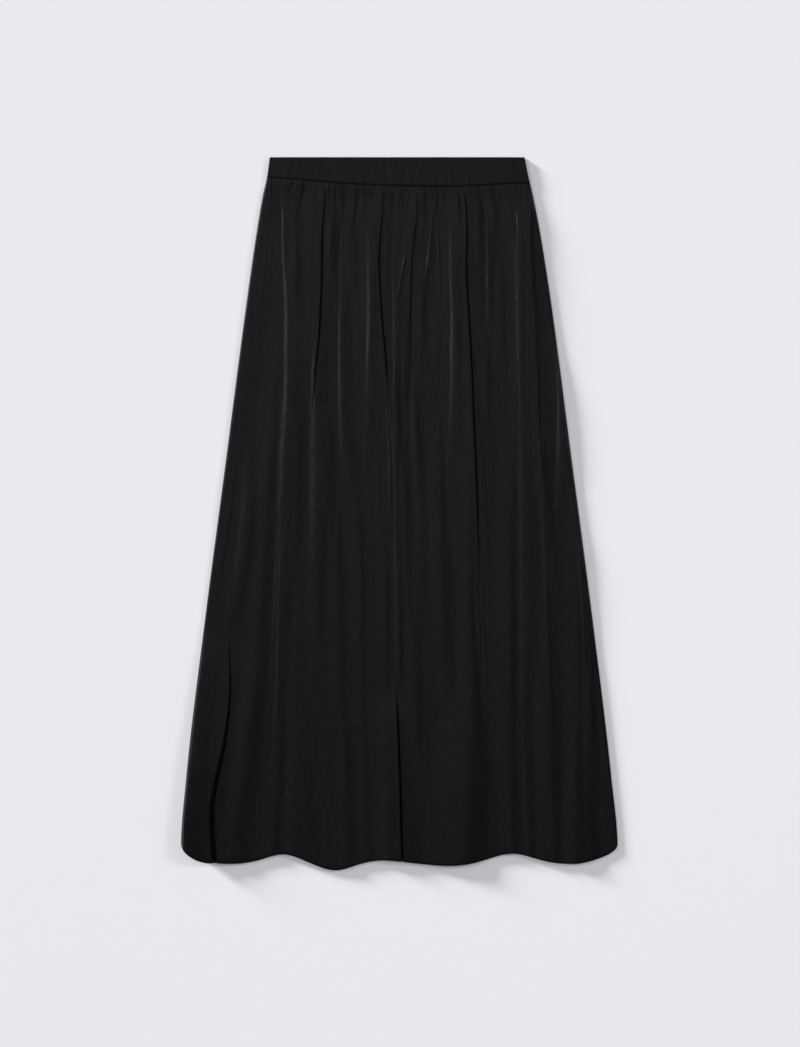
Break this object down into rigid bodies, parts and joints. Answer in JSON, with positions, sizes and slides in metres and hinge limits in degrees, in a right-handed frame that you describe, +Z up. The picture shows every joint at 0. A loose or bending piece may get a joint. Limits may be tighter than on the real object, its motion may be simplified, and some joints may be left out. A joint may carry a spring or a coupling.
{
  "type": "maxi skirt",
  "caption": "Long A-line skirt laid flat: gathered front and back panels on a plain straight waistband, with lapped folds and a softly waved hem.",
  "frame": {"origin": "on the surface the skirt lies on, at the middle of its outline", "axes": "+Y towards the waistband, +Z up from the surface through the front of the skirt, +X to the right as seen from above"},
  "size_m": [0.5846, 0.953, 0.0138],
  "materials": {
    "waistband_front": "plain black crepe, matte",
    "waistband_back": "plain black crepe, matte",
    "front_panel": "black crepe with a soft satin sheen",
    "back_panel": "black crepe with a soft satin sheen"
  },
  "bodies": {
    "root": {"waistband_front": "waistband_front", "waistband_back": "waistband_back", "front_panel": "front_panel", "back_panel": "back_panel"}
  },
  "joints": []
}
